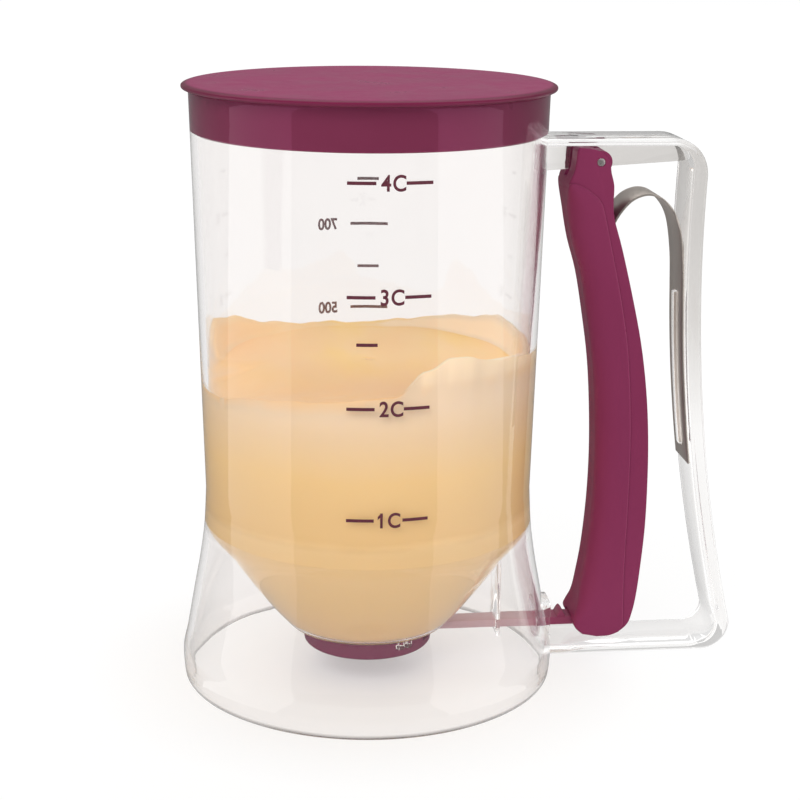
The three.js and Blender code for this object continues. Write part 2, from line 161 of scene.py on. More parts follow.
TRIGGER_REAR = (
    (1.0, 0.217), (0.999, 0.435), (0.991, 0.614), (0.974, 0.761), (0.951, 0.826),
    (0.918, 0.88), (0.864, 0.929), (0.765, 0.989), (0.665, 1.0), (0.565, 0.978),
    (0.465, 0.908), (0.366, 0.783), (0.266, 0.598), (0.173, 0.402), (0.113, 0.255),
    (0.08, 0.228), (0.047, 0.228), (0.02, 0.174), (0.0, 0.152), (-0.012, 0.087),
    (-0.023, -0.054), (-0.027, -0.19),
)
TRIGGER_STEP = (
    (0.975, 0.68), (0.86, 0.66), (0.6, 0.68), (0.42, 0.6), (0.3, 0.456),
    (0.18, 0.24), (0.1, 0.085), (0.08, 0.025), (0.067, -0.06), (0.05, -0.25), (0.04, -0.43),
)
TRIGGER_FIRST_REAR = 3

# Valve
CAP_RADIUS = 20.0
CAP_LOW = 8.8
CAP_HIGH = 15.7
CAP_FLOOR = 2.5
CAP_WALL = 2.0
SEAL_LOW = 14.5
SEAL_RADIUS = 17.7
BLADE_RADIUS = 11.0
BLADE_X = 1.5
BLADE_SHOULDER_X = 13.0
BLADE_NECK_X = 19.0
BLADE_ROOM = 0.5
BLADE_STEPS = 32
CAP_LIP = 0.6
ARM_HALF = 3.5
ARM_LOW = 11.6
ARM_HIGH = 14.2
ARM_ROOM = 0.5
BUMP_X = 61.8
BUMP_LENGTH = 3.0
# Way along the bump as a share of half its length, and height above the arm
BUMP_LINE = ((-1.0, -0.1), (-0.5, 1.3), (0.0, 2.0), (0.5, 1.3), (1.0, -0.1))
LINK_X = 74.0
LINK_HEIGHT = 14.4
LINK_RADIUS = 1.5
LINK_ROOM = 1.8
LINK_TOP = 20.4
HOOK_WALL = 2.2

# Leaf spring
LEAF_WIDTH = 15.0
LEAF_THICK = 0.7
LEAF_LOW = 65.5
LEAF_LEAVE = 120.0
LEAF_SLOT_LOW = 70.0
LEAF_SLOT_HIGH = 119.5
LEAF_ARCH = 150.0
LEAF_ROOM = 26.9
LEAF_BACK = 5.3
LEAF_LEG = (
    (0.32, 0.01), (0.62, 0.055), (0.78, 0.115), (0.89, 0.2), (0.97, 0.31), (1.0, 0.42),
    (0.985, 0.53), (0.93, 0.64), (0.82, 0.745), (0.7, 0.82), (0.55, 0.9), (0.4, 0.965),
    (0.26, 1.0), (0.13, 0.985),
)

# Lid
LID_TOP = 183.0
LID_UNDER = 181.2
LID_RADIUS = 55.1
LID_ROLL = 3.2
LID_DROP = 1.0
LID_EDGE = 0.7
LID_GLOSS = 0.65
PLUG_LOW = 168.6

# Pieces that wet or press on the clear wall reach this far into it, so that no air
# film shows between them
CONTACT = 0.02

# Batter
BATTER_LEVEL = 99.5
BATTER_DROP = 8.0
BATTER_RINGS = 44
BATTER_RIM = 48.0
# Waves in its surface: height in millimetres, fineness in x and in y, and seed
SWIRL = (0.9, 0.05, 0.025, 1.7)
FINE_SWIRL = (0.35, 0.13, 0.07, 4.2)
RAGGED = (0.5, 0.2, 0.2, 9.0)
# Angle about the axis in degrees, and how far the batter climbs the wall there
BATTER_RISE = (
    (-180.0, -1.0), (-174.0, -5.0), (-158.0, -5.5), (-135.0, -2.7), (-117.0, -1.0),
    (-95.0, 0.0), (-86.0, 1.0), (-76.0, 7.5), (-66.0, 10.5), (-45.0, 8.0), (-20.0, 6.0),
    (5.0, 6.5), (25.0, 8.0), (45.0, 5.5), (70.0, 2.0), (90.0, 0.5), (110.0, 1.0),
    (130.0, 3.5), (150.0, 8.0), (165.0, 10.5), (171.0, 9.5), (176.0, 5.5), (180.0, -1.0),
)

# Printed scale: cup marks on the front, millilitre marks on the back
INK_PROUD = 0.06
INK_UNDER = 0.005
INK_STEP = 0.6
LETTER_SIZE = 1.38
CUP_HEIGHTS = (64.4, 97.4, 129.3, 160.8)
CUP_LINES = ((-11.0, -3.1), (5.1, 12.6))
CUP_TEXT_AT = 1.6
# Letters: height, width as a share, weight and spacing
CUP_LETTERS = (4.5, 0.88, 0.13, 1.12)
HALF_TICK = (-8.3, -2.4)
HALF_HEIGHT = 115.9
ONE_LEFT = -1.0
FLAG = 1.0
MILLI_HEIGHTS = (52.5, 66.0, 79.3, 92.1, 104.7, 118.3, 132.3, 147.0)
MILLI_SHORT = (-8.2, -1.0)
MILLI_LONG = (-11.2, 1.35)
MILLI_TEXT_AT = 9.1
MILLI_LETTERS = (3.7, 0.86, 0.16, 1.0)
INK_LINE = 0.95

# Camera, in metres, and its turns in radians
CAMERA_AT = Vector((-0.0800, -0.5376, 0.2337))
CAMERA_TURN = radians(6.5)
CAMERA_DOWN = 0.266377
CAMERA_ROLL = 0.008995
CAMERA_LENS = 82.14


def at(x, y, z):
    """A point given in millimetres from the jug's axis, in metres in the part's frame."""
    return Vector(((x + AXIS_X) * MM, y * MM, z * MM))


def even_steps(low, high, steps):
    """Places from low to high, both among them."""
    return [low + (high - low) * step / steps for step in range(steps + 1)]


def passed(value, low, high):
    """How far a value has come from low to high, as a share."""
    return (value - low) / (high - low)


def fade(value, low, high):
    t = min(max(passed(value, low, high), 0.0), 1.0)
    return t * t * (3 - 2 * t)


def followed(line, place, share=passed):
    """The value at a place on a line of (place, value)."""
    for (low, start), (high, end) in zip(line, line[1:]):
        if low <= place <= high:
            return start + (end - start) * share(place, low, high)
    return line[-1][1]


def curve_through(points, steps):
    """A smooth open line through points, with steps pieces between each two."""
    ends = [points[0], *points, points[-1]]
    line = []
    for before, start, end, after in zip(ends, ends[1:], ends[2:], ends[3:]):
        for step in range(steps):
            t = step / steps
            line.append(tuple(
                0.5 * (2 * b + (c - a) * t + (2 * a - 5 * b + 4 * c - d) * t * t
                       + (3 * b - a - 3 * c + d) * t * t * t)
                for a, b, c, d in zip(before, start, end, after)
            ))
    line.append(tuple(points[-1]))
    return line


def rounded(corner, before, after, steps):
    """A quarter turn round a corner, between two offsets from it."""
    handles = [
        Vector((corner[0] + keep * side[0], corner[1] + keep * side[1], 0.0))
        for keep, side in ((1, before), (HANDLE_KEEP, before), (HANDLE_KEEP, after), (1, after))
    ]
    return [(point.x, point.y) for point in interpolate_bezier(*handles, steps + 1)]


def linked(name, data):
    """A new object in the scene for a mesh, curve, lamp or camera."""
    made = bpy.data.objects.new(name, data)
    bpy.context.collection.objects.link(made)
    return made


def finished(bm, name, mesh):
    """An object for a mesh that takes what was made in bm, its faces turned outwards."""
    bmesh.ops.recalc_face_normals(bm, faces=bm.faces)
    bm.to_mesh(mesh)
    bm.free()
    return linked(name, mesh)


def loft(name, rings, closed=False):
    """A solid through rings of as many points each, capped unless it closes on itself.
    Doubled points merge."""
    count = len(rings[0])
    last = (len(rings) - 1) * count
    faces = [] if closed else [tuple(range(count)), tuple(range(last + count - 1, last - 1, -1))]
    for row in range(len(rings) if closed else len(rings) - 1):
        start = row * count
        beyond = (row + 1) % len(rings) * count
        for index in range(count):
            after = (index + 1) % count
            faces.append((start + index, beyond + index, beyond + after, start + after))
    mesh = bpy.data.meshes.new(name)
    mesh.from_pydata([point for ring in rings for point in ring], [], faces)
    mesh.validate()
    bm = bmesh.new()
    bm.from_mesh(mesh)
    bmesh.ops.remove_doubles(bm, verts=bm.verts, dist=1e-7)
    return finished(bm, name, mesh)


def lathe(name, profile, steps=LATHE_STEPS):
    """A closed (radius, height) profile turned about the jug's axis."""
    return loft(name, [
        [at(radius * cos(turn), radius * sin(turn), height) for radius, height in profile]
        for turn in even_steps(0.0, 2 * pi, steps)[:-1]
    ], closed=True)


def side_plate(name, outline, width):
    """An outline in x and z, extruded to width about y = 0."""
    return loft(name, [[at(x, y, z) for x, z in outline] for y in (-width / 2, width / 2)])


def plan_plate(name, outline, low, high):
    """An outline in x and y, standing from low to high."""
    return loft(name, [[at(x, y, z) for x, y in outline] for z in (low, high)])


def block(name, span, half, heights, turn=0.0):
    """A box over a span of x, half wide to each side, turned about the jug's axis."""
    corners = [(span[0], -half), (span[1], -half), (span[1], half), (span[0], half)]
    turned = Matrix.Rotation(radians(turn), 2)
    return plan_plate(name, [turned @ Vector(corner) for corner in corners], *heights)


def rod(name, x, z, radius, half):
    """A round bar along y."""
    turns = even_steps(0.0, 2 * pi, ROD_STEPS)[:-1]
    circle = [(x + radius * cos(turn), z + radius * sin(turn)) for turn in turns]
    return side_plate(name, circle, 2 * half)


def applied(made):
    """A mesh of an object with its modifiers applied."""
    graph = bpy.context.evaluated_depsgraph_get()
    return bpy.data.meshes.new_from_object(made.evaluated_get(graph))


def evaluated(made):
    """Applies an object's modifiers to its mesh."""
    old = made.data
    made.data = applied(made)
    made.modifiers.clear()
    bpy.data.meshes.remove(old)
    return made


def bevel(made, width, segments=2, angle=35.0):
    modifier = made.modifiers.new("edge_round", "BEVEL")
    modifier.width = width * MM
    modifier.segments = segments
    modifier.limit_method = "ANGLE"
    modifier.angle_limit = radians(angle)
    return evaluated(made)


def combine(made, other, operation):
    """Joins, cuts or intersects with another solid, which is used up."""
    modifier = made.modifiers.new("join", "BOOLEAN")
    modifier.operation = operation
    modifier.solver = "MANIFOLD"
    modifier.object = other
    evaluated(made)
    bpy.data.objects.remove(other)
    return made


def join(made, other):
    return combine(made, other, "UNION")


def cut(made, other):
    return combine(made, other, "DIFFERENCE")


def smooth(made, angle):
    made.data.shade_smooth()
    made.data.set_sharp_from_angle(angle=radians(angle))
    return made


# Materials: tones are sRGB colours of 0 to 255, and the tints are linear
NO_TINT = (1.0, 1.0, 1.0, 1.0)
# Painted reflection tint of the clear plastic round the lid's plug
LID_PAINTED_REFLECTION = (1.0, 0.3, 0.6, 1.0)
LID_SHEEN = (1.0, 0.2, 0.5, 1.0)
# Painted reflection tint of the clear plastic over the batter
BATTER_PAINTED_REFLECTION = (0.6, 0.45, 0.3, 1.0)
UNSMOKED = (253, 252, 251)
SMOKE_HEIGHTS = (50.0, 170.0)
SMOKE_PLACES = (0.2, 0.5, 0.75, 0.948, 0.96)
# Painted glow: emission that the clear plastic adds at each later turn, standing in for light
# that stays trapped in it
PAINTED_TRAPPED_GLOW = 0.28
TRAPPED_AFTER = 2.5
# Painted glow on the batter's top and film, as a share of its colour, standing in for light that
# comes through the batter to its surface
PAINTED_BATTER_GLOW = 0.22
# How far past its top radius the funnel's faces count as wet, in millimetres
WET_MARGIN = 1.0
BRUSH_CONTRAST = 12
GRAIN_SCALE = 2600.0
# How hard a bump of fine grain is, and its depth in metres
GRAIN = (0.12, 0.00003)


def new_material(name):
    material = bpy.data.materials.new(name)
    material.use_nodes = True
    tree = material.node_tree
    return material, tree, tree.nodes["Principled BSDF"]


def plug(socket, value):
    """Links another node's output to a socket, or sets the socket to a plain value."""
    if isinstance(value, bpy.types.NodeSocket):
        socket.id_data.links.new(value, socket)
    else:
        socket.default_value = value


def feed(made, **named):
    """Sets a node's properties and inputs by name."""
    for name, value in named.items():
        if hasattr(made, name):
            setattr(made, name, value)
        else:
            plug(made.inputs[name.replace("_", " ")], value)


def node(owner, kind, *inputs, **named):
    """A new node in the tree of its owner: a tree, or a node or socket in one. Its inputs
    are given in order, then its properties and inputs by name."""
    made = owner.id_data.nodes.new("ShaderNode" + kind)
    feed(made, **named)
    for socket, value in zip(made.inputs, inputs):
        plug(socket, value)
    return made


def calc(operation, *values):
    """A Math node's result, where at least one value is another node's output."""
    owner = next(value for value in values if isinstance(value, bpy.types.NodeSocket))
    return node(owner, "Math", *values, operation=operation).outputs["Value"]


def parts(vector):
    """A vector's x, y and z."""
    return node(vector, "SeparateXYZ", vector).outputs


def object_point(tree):
    """The point in the object's own coordinates, in metres."""
    return node(tree, "TexCoord").outputs["Object"]


def from_axis(tree):
    """The level line from the jug's axis to a point, in metres."""
    level = (1.0, 1.0, 0.0)
    back = (-AXIS_X * MM, 0.0, 0.0)
    made = node(tree, "VectorMath", object_point(tree), level, back, operation="MULTIPLY_ADD")
    return made.outputs["Vector"]


def axis_distance(tree):
    return node(tree, "VectorMath", from_axis(tree), operation="LENGTH").outputs["Value"]


def spread(value, low, high, from_low=0.3, from_high=0.7):
    """Maps a value to low and high, by default from the range of a noise."""
    return node(value, "MapRange", value, from_low, from_high, low, high).outputs["Result"]


def portion(value, low, high):
    """0 to 1 as a value goes from low to high."""
    return spread(value, 0.0, 1.0, low, high)


def along(tree, axis, low, high):
    """0 to 1 between two places in millimetres, where x counts from the jug's axis."""
    start = AXIS_X if axis == "X" else 0.0
    place = parts(object_point(tree))[axis]
    return portion(place, (start + low) * MM, (start + high) * MM)


def facing(tree, axis, low, high):
    """0 to 1 as a face turns from low to high in its normal along an axis."""
    normal = node(tree, "NewGeometry").outputs["Normal"]
    return portion(parts(normal)[axis], low, high)


def facing_axis(tree):
    """1 where a face looks in at the jug's axis, 0 elsewhere."""
    normal = node(tree, "NewGeometry").outputs["Normal"]
    inward = node(tree, "VectorMath", from_axis(tree), normal, operation="DOT_PRODUCT")
    return portion(inward.outputs["Value"], -0.008, -0.025)


def over_batter(tree):
    """1 on the faces of the funnel, whose other side the batter wets, and 0 elsewhere."""
    height = parts(object_point(tree))["Z"]
    slope = (FUNNEL_TOP_RADIUS - FUNNEL_UNDER_RADIUS) / (FUNNEL_UNDER_TOP - FUNNEL_FLOOR)
    start = (FUNNEL_UNDER_RADIUS + 2 * FUNNEL_BULGE - slope * FUNNEL_FLOOR) * MM
    funnel = calc("MULTIPLY_ADD", height, slope, start)
    funnel = calc("MINIMUM", funnel, (FUNNEL_TOP_RADIUS + WET_MARGIN) * MM)
    inside = calc("LESS_THAN", axis_distance(tree), funnel)
    return calc("MULTIPLY", inside, calc("LESS_THAN", height, FUNNEL_TOP * MM))


def noise_value(tree, scale, detail=3.0, roughness=0.55, stretch=None):
    """A noise in the object's own coordinates."""
    source = object_point(tree)
    if stretch:
        source = node(tree, "Mapping", source, Scale=stretch).outputs["Vector"]
    texture = node(tree, "TexNoise", source, Scale=scale, Detail=detail, Roughness=roughness)
    return texture.outputs["Fac"]


def linear(tone):
    return Color([part / 255 for part in tone]).from_srgb_to_scene_linear()


def ramp(value, *stops):
    """A colour by a value, from stops of (place, tone)."""
    made = node(value, "ValToRGB", value)
    elements = made.color_ramp.elements
    while len(elements) < len(stops):
        elements.new(0.5)
    for element, (place, tone) in zip(elements, stops):
        element.position = place
        element.color = (*linear(tone), 1.0)
    return made.outputs["Color"]


def two_tone(value, dark, light):
    """A colour that wanders between two tones with a noise."""
    return ramp(value, (0.3, dark), (0.7, light))


def mixed(factor, first, second):
    """A colour between two, by a factor."""
    made = node(factor, "Mix", data_type="RGBA")
    sockets = {socket.identifier: socket for socket in made.inputs}
    plug(sockets["Factor_Float"], factor)
    plug(sockets["A_Color"], first)
    plug(sockets["B_Color"], second)
    return next(out for out in made.outputs if out.identifier == "Result_Color")


def bumped(shader, *layers):
    """Adds bump layers of (value, strength, distance in metres) to a shader."""
    below = shader
    for value, strength, distance in reversed(layers):
        made = node(shader, "Bump", Height=value, Strength=strength, Distance=distance)
        feed(below, Normal=made.outputs["Normal"])
        below = made


def smoke(tree, *tones):
    """Clear at the handle's foot and above its bar, with three smoky tones between."""
    low, high = SMOKE_HEIGHTS
    stops = zip(SMOKE_PLACES, (UNSMOKED, *tones, UNSMOKED))
    return ramp(along(tree, "Z", low, high), *stops)


def clear_plastic():
    """Clear plastic, a little smoky up the handle, with painted shade at its foot's bottom
    edge, a painted glow after many turns inside it, and reflections painted in the lid's
    tone round the plug and in a batter tone over the funnel.
    """
    material, tree, shader = new_material("clear_plastic")
    haze = noise_value(tree, 60.0, 4.0)
    color = two_tone(haze, (250, 248, 247), (251, 249, 248))
    handle_tone = smoke(tree, (229, 227, 225), (216, 213, 210), (214, 211, 208))
    color = mixed(along(tree, "X", 46.0, 60.0), color, handle_tone)
    grip_tone = smoke(tree, (217, 214, 211), (206, 203, 200), (205, 202, 199))
    color = mixed(along(tree, "X", 91.0, 97.0), color, grip_tone)
    # Painted shade: darker tones at the bottom edge of the foot, below 1.2 mm
    painted_foot_shade = two_tone(haze, (150, 146, 144), (176, 172, 170))
    color = mixed(along(tree, "Z", 0.5, 1.2), painted_foot_shade, color)
    # Painted reflection: the clear plastic's reflections take the lid's plum round the plug
    by_lid = along(tree, "Z", PLUG_LOW - 0.5, PLUG_LOW + 0.1)
    tint = mixed(by_lid, NO_TINT, LID_PAINTED_REFLECTION)
    # Painted reflection: darker, batter-toned reflections on the funnel's faces
    tint = mixed(over_batter(tree), tint, BATTER_PAINTED_REFLECTION)
    # Painted glow: emission on rays that have turned inside the plastic more than TRAPPED_AFTER
    # times
    bounces = node(tree, "LightPath").outputs["Glossy Depth"]
    trapped = calc("GREATER_THAN", bounces, TRAPPED_AFTER)
    feed(
        shader, Base_Color=color, Specular_Tint=tint, Transmission_Weight=1.0, IOR=1.49,
        Roughness=spread(haze, 0.0, 0.03),
        Emission_Strength=calc("MULTIPLY", trapped, PAINTED_TRAPPED_GLOW),
    )
    flow = noise_value(tree, 22.0, 2.0, 0.4, (1.0, 1.0, 0.45))
    ripple = noise_value(tree, 130.0, 2.0, 0.4)
    bumped(shader, (flow, 0.25, 0.0006), (ripple, 0.05, 0.0002))
    return material


def plum_plastic(name, dark, light, gloss=0.05, wavy=0.12):
    """Moulded plum plastic with a faint flow in its colour and a fine satin grain."""
    material, tree, shader = new_material(name)
    flow = noise_value(tree, 28.0, 3.0, 0.5, (1.0, 1.0, 0.5))
    color = two_tone(flow, dark, light)
    rub = noise_value(tree, 90.0, 5.0)
    feed(
        shader, Base_Color=color, Roughness=spread(rub, 0.27, 0.4),
        IOR=1.48, Specular_IOR_Level=gloss,
    )
    wave = noise_value(tree, 45.0, 2.0)
    grain = noise_value(tree, GRAIN_SCALE, 2.0)
    bumped(shader, (wave, wavy, 0.0004), (grain, *GRAIN))
    return material, tree, shader, color


def lid_plum():
    """The lid: glossier and darker than the trigger, with a painted lighter top where
    light falls and painted shade on its rolled rim.
    """
    material, tree, shader, side = plum_plastic(
        "plum_lid", (102, 39, 61), (108, 43, 66), LID_GLOSS, 0.03)
    cloud = noise_value(tree, 28.0)
    # Painted shade: a darker tone on the rolled rim between top and side
    edge = two_tone(cloud, (98, 12, 48), (104, 16, 53))
    # Painted light: a lighter tone on the flat top, where light falls
    top = two_tone(cloud, (152, 34, 93), (156, 36, 95))
    color = mixed(facing(tree, "Z", 0.1, 0.5), side, edge)
    color = mixed(facing(tree, "Z", 0.965, 0.998), color, top)
    feed(shader, Base_Color=color, Specular_Tint=LID_SHEEN)
    return material


def trigger_plum():
    """The trigger: satin, with a painted highlight along the edge of its raised part."""
    material, tree, shader, side = plum_plastic("plum_trigger", (122, 46, 79), (130, 52, 86))
    # Painted highlight: a lighter tone on the rear-facing faces of the raised part's edge
    across = calc("ABSOLUTE", parts(object_point(tree))["Y"])
    raised = calc("GREATER_THAN", across, (TRIGGER_REAR_WIDTH / 2 + 0.05) * MM)
    edge = calc("MULTIPLY", raised, facing(tree, "X", 0.2, 0.5))
    painted_ridge_highlight = two_tone(noise_value(tree, 60.0), (150, 68, 104), (160, 76, 112))
    feed(shader, Base_Color=mixed(edge, side, painted_ridge_highlight))
    return material


def arm_plastic():
    """The arm's plum, with a painted milky reflection on the part that runs inside the jug's
    foot.
    """
    material, tree, shader = new_material("arm_plastic")
    flow = noise_value(tree, 28.0)
    plain = two_tone(flow, (132, 56, 86), (142, 62, 94))
    # Painted reflection: a pale milky tone for the skirt wall's reflection over the arm
    painted_reflection_milky = two_tone(flow, (186, 150, 157), (194, 158, 164))
    color = mixed(along(tree, "X", 53.0, 57.0), painted_reflection_milky, plain)
    feed(shader, Base_Color=color, Roughness=0.36, Specular_IOR_Level=0.3)
    bumped(shader, (noise_value(tree, GRAIN_SCALE, 2.0), *GRAIN))
    return material


def brushed_steel(name, base, stretch, roughness=0.3):
    """Steel with brush marks that follow the stretch of their noise."""
    material, tree, shader = new_material(name)
    dark = [value - BRUSH_CONTRAST for value in base]
    brushing = noise_value(tree, 900.0, 3.0, 0.6, stretch)
    feed(
        shader, Base_Color=two_tone(noise_value(tree, 60.0), dark, base),
        Metallic=1.0, Roughness=spread(brushing, roughness - 0.08, roughness + 0.1),
    )
    bumped(shader, (brushing, 0.18, 0.00003))
    return material


def silicone():
    material, tree, shader = new_material("silicone")
    color = two_tone(noise_value(tree, 80.0), (206, 200, 194), (222, 217, 211))
    feed(shader, Base_Color=color, Roughness=0.6)
    bumped(shader, (noise_value(tree, 1500.0, 2.0), 0.1, 0.00003))
    return material


def scale_ink():
    material, tree, shader = new_material("scale_ink")
    wear = noise_value(tree, 1400.0)
    color = ramp(wear, (0.3, (84, 30, 46)), (0.75, (104, 42, 58)))
    feed(shader, Base_Color=color, Roughness=spread(wear, 0.4, 0.6))
    return material


def batter():
    """Creamy batter: yellow clouds on the surface, paler where it thins on the wall, with
    painted shade towards the front left and a painted glow on its top and film.
    """
    material, tree, shader = new_material("batter")
    cloud = noise_value(tree, 20.0, 3.0, 0.5)
    height = parts(object_point(tree))["Z"]
    level = calc("MULTIPLY_ADD", cloud, 0.008, height)
    body = ramp(
        portion(level, 0.02, 0.104),
        (0.0, (236, 198, 150)), (0.2, (238, 201, 144)), (0.36, (242, 204, 146)),
        (0.44, (246, 208, 151)), (0.48, (228, 188, 130)), (0.7, (237, 198, 138)),
        (0.95, (235, 206, 173)),
    )
    streaks = noise_value(tree, 30.0, 3.0, 0.5, (0.8, 0.32, 1.0))
    surface = ramp(
        streaks, (0.32, (255, 206, 140)), (0.46, (255, 212, 146)),
        (0.58, (255, 211, 116)), (0.7, (255, 224, 176)),
    )
    # Painted shade: a duller tan tone on the surface towards the front and the left
    painted_shade_tan = ramp(streaks, (0.35, (230, 183, 128)), (0.65, (240, 194, 138)))
    beside = spread(along(tree, "X", -42.0, -6.0), 0.2, 1.0, 0.0, 1.0)
    away = calc("MULTIPLY", along(tree, "Y", -34.0, 4.0), beside)
    surface = mixed(away, painted_shade_tan, surface)
    film = ramp(
        along(tree, "X", -30.0, 0.0), (0.0, (248, 208, 150)), (1.0, (255, 228, 190)))
    climbing = along(tree, "Z", BATTER_LEVEL + 2.0, BATTER_LEVEL + 4.5)
    surface = mixed(climbing, surface, film)
    upward = facing(tree, "Z", 0.45, 0.85)
    inward = facing_axis(tree)
    color = mixed(inward, mixed(upward, body, surface), film)
    # Painted glow: emission on the faces that look up or in at the jug's axis
    lit = calc("MAXIMUM", upward, inward)
    feed(
        shader, Base_Color=color, Emission_Color=color,
        Emission_Strength=calc("MULTIPLY", lit, PAINTED_BATTER_GLOW), Roughness=0.42,
        Subsurface_Weight=0.15, Subsurface_Radius=(0.004, 0.003, 0.0015),
    )
    folds = noise_value(tree, 50.0, 3.0, 0.5, (0.8, 0.35, 1.0))
    bubbles = noise_value(tree, 420.0)
    bumped(shader, (folds, 0.2, 0.0012), (bubbles, 0.1, 0.0002))
    return material


def set_material(made, material):
    made.data.materials.clear()
    made.data.materials.append(material)
    return made


# Jug, funnel and handle: one clear moulding
def wall_radius(height):
    if height >= WAIST_HEIGHT:
        rise = passed(height, WAIST_HEIGHT, RIM_HEIGHT)
        return WAIST_RADIUS + (RIM_RADIUS - WAIST_RADIUS) * rise
    swell = followed(SWELL_LINE, height / WAIST_HEIGHT)
    return WAIST_RADIUS + (FOOT_RADIUS - WAIST_RADIUS) * swell


SWELL_LINE = curve_through(FOOT_SWELL, 6)


def wall_line(low, high, inset, steps):
    return [(wall_radius(height) - inset, height) for height in even_steps(low, high, steps)]


def bowed(start, end, bulge, steps):
    """A line from start to end that bows outwards by bulge."""
    whole = Vector(end) - Vector(start)
    outward = whole.orthogonal().normalized()
    return [
        Vector(start) + whole * t + outward * (4 * bulge * t * (1 - t))
        for t in even_steps(0, 1, steps)
    ]


def funnel_corner():
    """Where the wall's inside turns in to the funnel, from the top down."""
    joint = wall_radius(FUNNEL_TOP) - WALL
    ease = FUNNEL_EASE
    return curve_through([
        (joint, FUNNEL_TOP + ease), (joint - 0.05 * ease, FUNNEL_TOP + 0.4 * ease),
        (FUNNEL_TOP_RADIUS, FUNNEL_TOP - 0.2 * ease),
    ], 4)


def jug_inside():
    """The jug's inner side, from under its rim down to the funnel's floor."""
    floor = (FUNNEL_FLOOR_RADIUS, FUNNEL_FLOOR_TOP)
    return [
        *reversed(wall_line(FUNNEL_TOP + 4.0, RIM_HEIGHT - 2.0, WALL, 28)),
        *funnel_corner()[:-1],
        *bowed((FUNNEL_TOP_RADIUS, FUNNEL_TOP), floor, FUNNEL_BULGE, 20)[1:-1],
    ]


def clear_jug():
    foot = wall_radius(0.0)
    under_joint = wall_radius(FUNNEL_UNDER_TOP) - WALL
    lip = EDGE_ROUND
    return lathe("jug_and_handle", [
        *rounded((foot - WALL, 0.0), (0.0, lip), (lip, 0.0), 4),
        *rounded((foot, 0.0), (-lip, 0.0), (0.0, lip), 4),
        *wall_line(2.0, WAIST_HEIGHT, 0.0, 40),
        *wall_line(WAIST_HEIGHT + 4.0, RIM_HEIGHT - 2.0, 0.0, 24),
        *rounded((RIM_RADIUS, RIM_HEIGHT), (0.0, -lip), (-lip, 0.0), 4),
        *rounded((RIM_RADIUS - WALL, RIM_HEIGHT), (lip, 0.0), (0.0, -lip), 4),
        *jug_inside(),
        *rounded((FUNNEL_FLOOR_RADIUS, FUNNEL_FLOOR_TOP), (0.5, 0.7), (-1.0, 0.0), 4),
        (OUTLET_RADIUS, FUNNEL_FLOOR_TOP),
        (OUTLET_RADIUS, FUNNEL_FLOOR),
        *reversed(bowed(
            (under_joint - 0.2 * UNDER_EASE, FUNNEL_UNDER_TOP - 0.3 * UNDER_EASE),
            (FUNNEL_UNDER_RADIUS, FUNNEL_FLOOR),
            FUNNEL_BULGE, 20,
        )),
        (under_joint - 0.05 * UNDER_EASE, FUNNEL_UNDER_TOP - 0.7 * UNDER_EASE),
        *reversed(wall_line(2.0, FUNNEL_UNDER_TOP - 1.5 * UNDER_EASE, WALL, 32)),
    ])


def skirt_details(jug):
    """The window frame, the arm's guide and the four hooks, then the window itself."""
    inner = wall_radius(WINDOW_HIGH) - WALL + FINE_ROUND
    surround = block(
        "surround", (inner, WINDOW_REACH), WINDOW_HALF + WINDOW_FRAME,
        (WINDOW_LOW - WINDOW_FRAME, WINDOW_HIGH + WINDOW_FRAME),
    )
    join(jug, bevel(surround, FINE_ROUND))
    guide = block(
        "guide", (GUIDE_X, GUIDE_X + GUIDE_THICK), GUIDE_HALF, (GUIDE_LOW, GUIDE_HIGH))
    join(jug, bevel(guide, FINE_ROUND))
    for turn in HOOK_TURNS:
        join(jug, cap_hook(turn))
    cut(jug, block(
        "window", (inner - WINDOW_HALF, WINDOW_REACH + OVERRUN), WINDOW_HALF,
        (WINDOW_LOW, WINDOW_HIGH),
    ))
    return cut(jug, block(
        "passage", (GUIDE_X - OVERRUN, GUIDE_X + GUIDE_THICK + OVERRUN), WINDOW_HALF,
        (ARM_LOW - ARM_ROOM, ARM_HIGH + ARM_ROOM),
    ))


def cap_hook(turn):
    face = CAP_RADIUS + CLEAR_GAP
    half = HOOK_WIDTH / 2
    leg = block(
        "hook", (face, face + HOOK_THICK), half, (HOOK_LOW, FUNNEL_FLOOR + OVERRUN), turn)
    bevel(leg, 0.25)
    tooth = block(
        "tooth", (face - HOOK_TOOTH, face + HOOK_THICK / 2), half,
        (HOOK_LOW, HOOK_LOW + HOOK_TOOTH), turn,
    )
    return join(leg, tooth)


def grip_outer(height):
    lean = (height - GRIP_WAIST_HEIGHT) / GRIP_WAIST_HEIGHT
    return GRIP_WAIST_X + GRIP_FLARE * lean * lean


def grip_line(inset, low, high, steps=24):
    return [(grip_outer(height) - inset, height) for height in even_steps(low, high, steps)]


def band_outline(inset, low, high, low_corner, high_corner):
    start = WAIST_RADIUS - WALL
    grip = grip_line(inset, low + low_corner, high - high_corner)
    low_x = grip[0][0]
    high_x = grip[-1][0]
    return [
        (start, low),
        *rounded((low_x, low), (-low_corner, 0.0), (0.0, low_corner), 10),
        *grip[1:-1],
        *rounded((high_x, high), (0.0, -high_corner), (-high_corner, 0.0), 10),
        (start, high),
    ]


